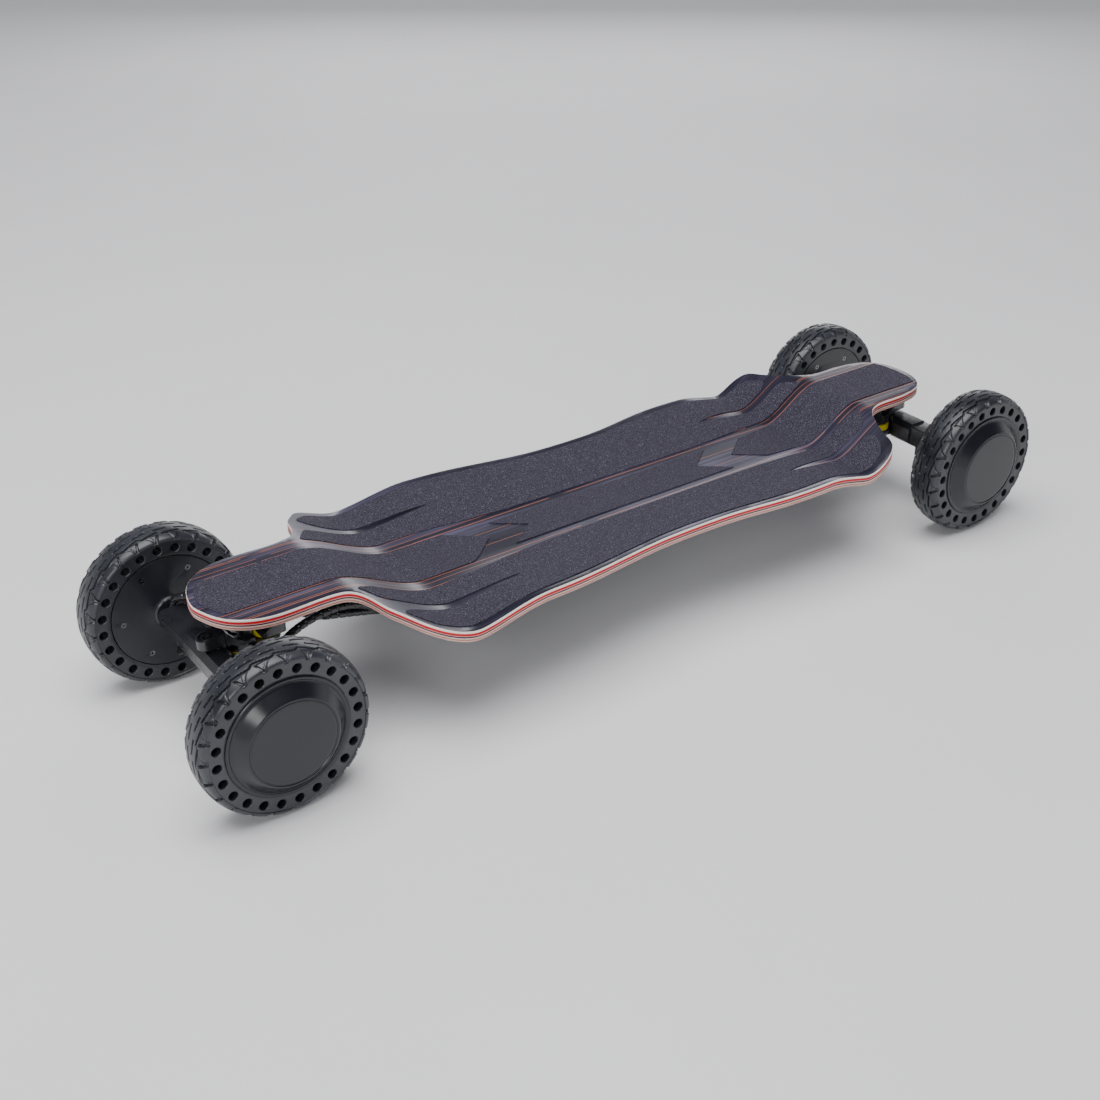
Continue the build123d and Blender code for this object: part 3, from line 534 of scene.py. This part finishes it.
def densified(loop, step):
    """Closed polygon with points added on its long sides, corners kept."""
    dense = []
    for a, b in zip(loop, np.roll(loop, -1, axis=0)):
        count = max(1, round(hypot(*(b - a)) / step))
        dense += [a + (b - a) * k / count for k in range(count)]
    return np.array(dense)


# ---- grip panels, half outlines in millimetres ----
REAR_PANEL = [(-482, 0), (-480, 12), (-475, 25), (-467, 35), (-250, 35), (-190, 34), (-181, 28),
              (-148, 0)]
MIDDLE_PANEL = [(-132, 27), (-97, 0), (-132, -27), (176, -27), (142, 0), (176, 27)]
FRONT_PANEL = [(196, 0), (230, 27), (262, 30), (300, 34), (464, 34), (469, 20), (471, 0)]
SIDE_PANEL = [
    (-344, 57), (-300, 56), (-250, 54), (-200, 52), (-120, 42), (0, 40), (180, 40), (250, 44),
    (300, 47), (354, 47), (348, 56), (341, 70), (334, 75), (300, 73), (250, 76), (206, 80),
    (250, 87), (300, 86), (333, 90), (328, 112), (318, 124), (300, 127), (240, 127), (187, 128),
    (149, 125), (96, 118), (38, 115.5), (-9, 117), (-61, 124), (-114, 132), (-150, 135),
    (-206, 136), (-271, 138), (-296, 134), (-310, 124), (-321, 112), (-306, 103), (-270, 99),
    (-220, 97), (-160, 91), (-220, 88), (-270, 88), (-300, 86), (-326, 84), (-334, 72)]


def build_grip():
    middle = np.array(MIDDLE_PANEL, float)
    loops = [middle]
    for half in (REAR_PANEL, FRONT_PANEL):
        mirrored = [(x, -w) for x, w in reversed(half) if w > 0]
        loops.append(np.array(half + mirrored, float))
    side = softened(SIDE_PANEL, 2)
    loops += [side, side * (1, -1)]
    verts, faces = [], []
    for loop in loops:
        edge = densified(loop, GRIP_STEP)
        out = loop_normals(edge)
        flat, fill, n = sheet_mesh(edge - out * GRIP_INSET, GRID_STEP)
        base = len(verts)
        verts += [(x, y, deck_z(x, y) + GRIP_T) for x, y in flat]
        faces += [tuple(base + i for i in face) for face in fill]
        previous = [base + i for i in range(n)]
        for height in (GRIP_T - GRIP_ROUND, -GRIP_SUNK):
            start = len(verts)
            verts += [(x, y, deck_z(x, y) + height) for x, y in edge]
            faces += [(previous[i], previous[(i + 1) % n], start + (i + 1) % n, start + i)
                      for i in range(n)]
            previous = list(range(start, start + n))
        start = len(verts)
        verts += [(x, y, deck_z(x, y) - GRIP_SUNK) for x, y in flat[n:]]
        under = {i: (previous[i] if i < n else start + i - n) for i in range(len(flat))}
        faces += [tuple(under[i] for i in reversed(face)) for face in fill]
    grip = make_object("grip_panels", verts, faces, [MATS["grip"]], sharp=30)
    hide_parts("grip_tape")
    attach(grip, "board")


# ---------------------------------------------------------------- tyre
def band(distance, half, soft):
    """1 on a line, 0 off it."""
    t = np.clip((np.abs(distance) - half) / soft, 0, 1)
    return 1 - t * t * (3 - 2 * t)


def tread_depth(u, v):
    """Depth in mm of the tread's cuts at pitch phase u and side position v from -1 to 1.

    Each shoulder lobe is a leaning arch whose foot is centred on a sidewall hole, the ground
    between the lobes is sunk, and a stepped groove runs round above them."""
    u = np.where(v < 0, u + 0.5, u)
    side = np.abs(v)
    t = (u % 1) - 0.5
    foot = np.clip((1 - side) / LOBE_H, 0, 1)
    left = -0.40 + 0.56 * (1 - np.sqrt(1 - foot ** 2))
    right = 0.16 + 0.18 * np.sin(0.5 * pi * (1 - foot))
    past = (t - right) % 1
    width = left + 1 - right
    sunk = np.clip(past / 0.05, 0, 1) * np.clip((width - past) / 0.07, 0, 1) * (1.9 - 0.8 * foot)
    groove = band(past - 0.07, 0.035, 0.045) * 2.9
    fin = band(past - 0.62 * width, 0.02, 0.03) * 1.3 * (1 - foot)
    lobes = (np.maximum(sunk, groove) - fin) * np.clip((side - (1 - LOBE_H)) / 0.05, 0, 1)
    run = (t - 0.16) % 1
    tooth = np.clip(run / 0.84, 0, 1) - np.clip((run - 0.84) / 0.16, 0, 1)
    wave = (1 - LOBE_H) - STAIR + STAIR * tooth
    stairs = band(side - wave, 0.022, 0.030) * 2.7
    dash_line = 0.17 + 0.06 * t
    dash = band(side - dash_line, 0.024, 0.030) * band(t + 0.02, 0.30, 0.07) * 2.4
    cut = np.maximum.reduce([lobes, stairs, dash])
    return cut * np.clip((1.0 - side) / 0.03, 0.4, 1)


def crown_profile():
    """Evenly spaced points over the tread from side to side, with their outward directions."""
    angle = np.linspace(-pi / 2, pi / 2, 600)
    y = TYRE_HALF * np.sign(np.sin(angle)) * np.abs(np.sin(angle)) ** 0.95
    r = TREAD_EDGE_R + (TYRE_R - TREAD_EDGE_R) * np.abs(np.cos(angle)) ** 0.85
    length = np.concatenate([[0], np.cumsum(np.hypot(np.diff(y), np.diff(r)))])
    v = np.linspace(-1, 1, ROWS + 1)
    at = (v + 1) / 2 * length[-1]
    y, r = np.interp(at, length, y), np.interp(at, length, r)
    slope_r, slope_y = np.gradient(y), -np.gradient(r)
    size = np.hypot(slope_r, slope_y)
    return v, r, y, slope_r / size, slope_y / size


def add_tread(verts, faces, turn):
    v, r, y, normal_r, normal_y = crown_profile()
    u = (np.arange(len(turn)) / COLUMNS) % 1
    depth = tread_depth(u[:, None], v[None, :])
    radius = r[None, :] - depth * normal_r[None, :]
    across = y[None, :] - depth * normal_y[None, :]
    for a, column_r, column_y in zip(turn, radius, across):
        verts += list(zip(column_r * cos(a), column_y, column_r * sin(a)))
    faces += strips(0, len(turn), ROWS + 1)


def wall_border(start, pitch, steps=6):
    """Outline of one pitch of the side wall, as points of radius and angle."""
    ends = [start + pitch * k / COLUMNS for k in range(COLUMNS + 1)]
    arc_out = [(WALL_R, a) for a in ends]
    arc_in = [(BEAD_R, a) for a in reversed(ends)]
    fall = [(WALL_R + (BEAD_R - WALL_R) * k / steps, ends[-1]) for k in range(1, steps)]
    climb = [(BEAD_R + (WALL_R - BEAD_R) * k / steps, ends[0]) for k in range(1, steps)]
    return arc_out + fall + arc_in + climb


def add_wall(verts, faces, side, start, pitch):
    """One pitch of the side wall, with its hole through to the middle."""
    hole_at = start + pitch / 2
    cx, cz = HOLE_CIRCLE * cos(hole_at), HOLE_CIRCLE * sin(hole_at)
    ring = [(r * cos(a), r * sin(a)) for r, a in wall_border(start, pitch)]
    base, count = len(verts), len(ring)
    lip_r = HOLE_R + HOLE_ROUND
    # share of the way out from the hole to the border, radius of the hole, depth under the wall
    shells = ((1.0, lip_r, 0), (0.55, lip_r, 0), (0.0, lip_r, 0), (0.0, HOLE_R, HOLE_ROUND),
              (0.0, HOLE_R, TYRE_HALF))
    for share, reach, sink in shells:
        for px, pz in ring:
            dx, dz = px - cx, pz - cz
            length = hypot(dx, dz)
            hx, hz = cx + dx / length * reach, cz + dz / length * reach
            verts.append((hx + (px - hx) * share, side * (WALL_Y - sink), hz + (pz - hz) * share))
    for shell in range(len(shells) - 1):
        low = base + shell * count
        faces += [(low + k, low + (k + 1) % count, low + count + (k + 1) % count, low + count + k)
                  for k in range(count)]


def add_rings(verts, faces, turn, profile):
    """Ring turned from a few points of radius and Y."""
    base = len(verts)
    for a in turn:
        verts += [(r * cos(a), y, r * sin(a)) for r, y in profile]
    faces += strips(base, len(turn), len(profile))


def build_tyre_mesh():
    verts, faces = [], []
    pitch = 2 * pi / PITCHES
    total = COLUMNS * PITCHES
    turn = 2 * pi * np.arange(total) / total
    add_tread(verts, faces, turn)
    for side in (-1, 1):
        for p in range(PITCHES):
            add_wall(verts, faces, side, p * pitch, pitch)
        bead = ((BEAD_R, WALL_Y), (RIM_R + 0.9, WALL_Y - 0.6), (RIM_R, SEAT_HALF))
        step = ((TREAD_EDGE_R, TYRE_HALF), (WALL_R, WALL_Y))
        for profile in (bead, step):
            add_rings(verts, faces, turn, [(r, side * y) for r, y in profile])
    add_rings(verts, faces, turn, [(RIM_R, -SEAT_HALF), (RIM_R, SEAT_HALF)])
    mesh = bpy.data.meshes.new("tyre")
    mesh.from_pydata([tuple(c * MM for c in p) for p in verts], [], faces)
    mesh.materials.append(MATS["tyre"])
    clean_normals(mesh, 5e-6)
    shade(mesh, 34.0)
    return mesh


# ---------------------------------------------------------------- wheel hub
def hub_profile():
    """Closed profile of the hub's shell: radius and distance out from the flat ring."""
    face = [(RIM_R, -38), (RIM_R, -1.2), (62.9, -0.2), (62.2, 0.45), (60.9, 0.6), (59.7, 0.35),
            (59.0, -0.25), (58.3, -0.35), (57.4, 0.1), (56.3, 1.1), (55.0, 2.4)]
    cone = [(55.0 - 7.6 * k / 5, 2.4 + 7.4 * k / 5) for k in range(1, 6)]
    lip = [(46.7, 10.45), (46.0, 10.85), (45.2, 10.85), (44.8, 10.55), (44.4, 10.05),
           (43.8, 10.02), (43.3, 10.40), (42.6, 10.58), (40, 10.62), (30, 10.68), (20, 10.72),
           (10, 10.75), (0, 10.76)]
    inner = [(0, 7), (14, 7), (14, -3), (18, -3), (18, 7), (42, 7), (53, -4), (58, -4),
             (58, -32), (46, -32), (46, -37.1), (58, -37.1)]
    return [(r, FACE_Y - TRACK_HALF + y) for r, y in face + cone + lip + inner]


def build_wheels():
    tyre = build_tyre_mesh()
    verts, faces = lathe(hub_profile())
    hub = bpy.data.meshes.new("hub")
    hub.from_pydata([tuple(c * MM for c in p) for p in verts], [], faces)
    hub.materials.append(MATS["hub"])
    clean_normals(hub)
    shade(hub, 30.0)
    for end, side in ENDS:
        for hand, sign in HANDS:
            body = f"{end}_{hand}_wheel"
            place = Matrix.Translation(Vector((side * WHEELBASE_HALF, sign * TRACK_HALF, TYRE_R)) * MM)
            if sign < 0:
                place = place @ Matrix.Rotation(pi, 4, "Z")
            phase = Matrix.Rotation(radians(WHEEL_TURN[side] * sign), 4, "Y")
            for mesh, piece, slot in ((tyre, "tyre", "tyre"), (hub, "hub", "hub")):
                obj = bpy.data.objects.new(f"{body}_{piece}", mesh.copy())
                bpy.context.scene.collection.objects.link(obj)
                obj.data.transform(place @ phase)
                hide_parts(f"{end}_{hand}_{piece}")
                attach(obj, body)
            cover = refined(f"{end}_{hand}_inner_cover", MATS["cover"], 0.5, 3)
            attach(cover, body)


# ---------------------------------------------------------------- trucks and small parts
def build_hard_parts():
    parts = {"battery_box": ("board", "box", 1.0), "riser_pads": ("board", "pad", 0.4),
             "charge_port_cap": ("port_cap", "pad", 0.3), "power_button": ("button", "box", 0.3),
             "lead_clips": ("rear_arm", "cast", 0.5)}
    slots = {"riser_pads": "pad", "battery_box": "box", "charge_port_cap": "pad",
             "power_button": "button", "lead_clips": "black_metal"}
    for end, _ in ENDS:
        parts[f"{end}_baseplate"] = ("board", "cast", 1.2)
        parts[f"{end}_arm"] = (f"{end}_arm", "cast", 1.3)
        parts[f"{end}_hanger"] = (f"{end}_hanger", "cast", 1.3)
        parts[f"{end}_inner_bushings"] = ("board", "urethane", 0.5)
        parts[f"{end}_outer_bushings"] = (f"{end}_arm", "urethane", 0.5)
        parts[f"{end}_arm_hardware"] = (f"{end}_arm", "dark_steel", 0.4)
        for name in ("baseplate", "arm", "hanger", "arm_hardware"):
            slots[f"{end}_{name}"] = "black_metal"
        slots[f"{end}_inner_bushings"] = slots[f"{end}_outer_bushings"] = "bushing"
    for node, (body, mat, bevel) in parts.items():
        obj = refined(node, MATS[mat], bevel)
        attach(obj, body)


def paint_cad():
    """Finishes for the CAD parts that are shown as they are."""
    by_name = {"deck_inserts": "steel", "box_gasket": "pad", "box_screws": "dark_steel",
               "battery_cells": "cell", "battery_board": "board", "speed_controller": "aluminium",
               "charge_port": "box", "inner_kingpins": "dark_steel",
               "inner_kingpin_nuts": "dark_steel", "truck_bolts": "dark_steel",
               "motor_stators": "core", "magnets": "magnet", "bearings": "steel",
               "cover_screws": "axle", "outer_kingpin": "dark_steel",
               "clamp_bolts": "dark_steel", "axles": "axle"}
    for name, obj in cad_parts.items():
        for ending, mat in by_name.items():
            if name.endswith(ending):
                obj.data.materials.clear()
                obj.data.materials.append(MATS[mat])


# ---------------------------------------------------------------- motor leads
LEAD_R = 4.2
LEAD_STEP = 0.7
LEAD_AROUND = 24
WRAP_PITCH = 8.5
WRAP_T = 0.75                       # thickness of the wound band
# where the inner spans pass from the arm to the board, in millimetres
NEAR_OUTER = [(-470, -103, 92.4), (-470, -103, 107), (-460, -89, 115), (-447, -70, 115),
              (-431, -57, 115.5)]
NEAR_INNER = [(-431, -57, 115.5), (-415, -44, 116), (-391, -39, 122.5), (-364, -44, 131),
              (-338, -46, 129), (-314, -45, 115), (-288, -42, 101), (-262, -38, 92.5),
              (-236, -36, 90), (-209, -36, 90)]
FAR_OUTER = [(-470, 103, 92.4), (-470, 103, 107), (-460, 90, 113), (-450, 74, 114),
             (-438, 58, 112), (-421, 50, 112)]
FAR_INNER = [(-421, 50, 112), (-404, 42, 112), (-387, 22, 113), (-382, -4, 114),
             (-370, -27, 115), (-346, -35, 114.5), (-318, -33, 106), (-291, -28, 96),
             (-264, -25, 91), (-237, -24, 90), (-209, -24, 90)]


def route_points(points, step):
    """Even points, in millimetres, along the smooth line of a route."""
    curve = bpy.data.curves.new("route", "CURVE")
    curve.dimensions = "3D"
    spline = curve.splines.new("NURBS")
    spline.points.add(len(points) - 1)
    for at, p in zip(spline.points, points):
        at.co = (*p, 1)
    spline.order_u = 3
    spline.use_endpoint_u = True
    spline.resolution_u = 16
    holder = bpy.data.objects.new("route", curve)
    mesh = bpy.data.meshes.new_from_object(holder)
    line = np.array([v.co for v in mesh.vertices])
    bpy.data.objects.remove(holder)
    run = np.concatenate([[0], np.cumsum(np.linalg.norm(np.diff(line, axis=0), axis=1))])
    at = np.linspace(0, run[-1], int(run[-1] / step))
    return np.column_stack([np.interp(at, run, line[:, k]) for k in range(3)]), at


def build_lead(name, points):
    """Round lead in a spiral wrap: a flat band wound with a narrow gap."""
    line, run = route_points(points, LEAD_STEP)
    around = LEAD_AROUND
    verts, faces = [], []
    side = None
    for i, p in enumerate(line):
        ahead = Vector(line[min(i + 1, len(line) - 1)] - line[max(i - 1, 0)]).normalized()
        if side is None:
            side = ahead.orthogonal().normalized()
        side = (side - ahead * side.dot(ahead)).normalized()
        up = ahead.cross(side)
        for k in range(around):
            a = 2 * pi * k / around
            phase = (run[i] / WRAP_PITCH - k / around) % 1
            band_on = 1 - smooth((abs(phase - 0.5) - 0.40) / 0.04)
            radius = LEAD_R - WRAP_T * (1 - band_on)
            verts.append(tuple(Vector(p) + (side * cos(a) + up * sin(a)) * radius))
    rings = len(line)
    for i in range(rings - 1):
        for k in range(around):
            m = (k + 1) % around
            faces.append((i * around + k, i * around + m, (i + 1) * around + m,
                          (i + 1) * around + k))
    faces.append(tuple(reversed(range(around))))
    faces.append(tuple((rings - 1) * around + k for k in range(around)))
    obj = make_object(name, verts, faces, [MATS["wrap"]], sharp=50)
    return obj


def build_leads():
    near = build_lead("near_lead_outer", NEAR_OUTER)
    far = build_lead("far_lead_outer", FAR_OUTER)
    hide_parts("motor_leads_outer")
    for obj, route in ((near, NEAR_OUTER), (far, FAR_OUTER)):
        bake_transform(obj)
    near = build_lead("near_lead_inner", NEAR_INNER)
    far = build_lead("far_lead_inner", FAR_INNER)
    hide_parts("motor_leads_inner")
    for obj in (near, far):
        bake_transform(obj)


# ---------------------------------------------------------------- stage
FLOOR_HALF = 40.0                   # metres


def build_stage():
    mesh = bpy.data.meshes.new("floor")
    bm = bmesh.new()
    bmesh.ops.create_grid(bm, x_segments=8, y_segments=8, size=FLOOR_HALF)
    bm.to_mesh(mesh)
    bm.free()
    floor = bpy.data.objects.new("floor", mesh)
    bpy.context.scene.collection.objects.link(floor)
    mesh.materials.append(mottled("pale_floor", (0.86, 0.86, 0.87), (0.90, 0.90, 0.91), 0.8, 1.5,
                                  bump_mm=0.0, specular=0.1))


AIM = (0, 0, 0.1)


def area_light(name, at, size, size_y, power):
    """Soft box aimed at the board."""
    light = bpy.data.lights.new(name, "AREA")
    light.shape = "RECTANGLE"
    light.size, light.size_y = size, size_y
    light.energy = power
    obj = bpy.data.objects.new(name, light)
    bpy.context.scene.collection.objects.link(obj)
    obj.location = at
    obj.rotation_euler = (Vector(AIM) - Vector(at)).to_track_quat("-Z", "Y").to_euler()


def build_lights():
    """White sweep low all round, darker ceiling, and three big soft boxes."""
    world = bpy.data.worlds.new("studio")
    bpy.context.scene.world = world
    world.use_nodes = True
    nodes, links = world.node_tree.nodes, world.node_tree.links
    place = nodes.new("ShaderNodeTexCoord")
    parts = nodes.new("ShaderNodeSeparateXYZ")
    links.new(place.outputs["Generated"], parts.inputs["Vector"])
    sky = ramp(nodes, links, parts.outputs["Z"],
               [(0.0, (0.95, 0.95, 0.97)), (0.16, (0.90, 0.91, 0.95)), (0.42, (0.12, 0.12, 0.14)),
                (0.75, (0.10, 0.10, 0.12)), (1.0, (0.55, 0.56, 0.60))])
    links.new(sky, nodes["Background"].inputs["Color"])
    nodes["Background"].inputs["Strength"].default_value = 0.9
    area_light("overhead", (-0.6, -0.2, 3.4), 3.4, 3.0, 150)
    area_light("camera_side", (-2.6, -2.2, 1.9), 1.4, 1.0, 30)
    area_light("far_strip", (1.9, 2.6, 1.0), 2.6, 0.5, 16)


def build_camera():
    data = bpy.data.cameras.new("camera")
    data.sensor_width = 36.0
    data.lens = LENS_MM
    camera = bpy.data.objects.new("camera", data)
    bpy.context.scene.collection.objects.link(camera)
    a, e = CAMERA_AZIMUTH, CAMERA_ELEVATION
    back = Vector((sin(a) * cos(e), -cos(a) * cos(e), sin(e)))
    right = Vector((cos(a), sin(a), 0))
    up = back.cross(right)
    turn = Matrix((right, up, back)).transposed() @ Matrix.Rotation(CAMERA_ROLL, 3, "Z")
    camera.matrix_world = Matrix.Translation(CAMERA_AT) @ turn.to_4x4()
    bpy.context.scene.camera = camera


build_camera()
build_stage()
build_lights()
build_deck()
build_grip()
build_wheels()
build_hard_parts()
build_leads()
paint_cad()
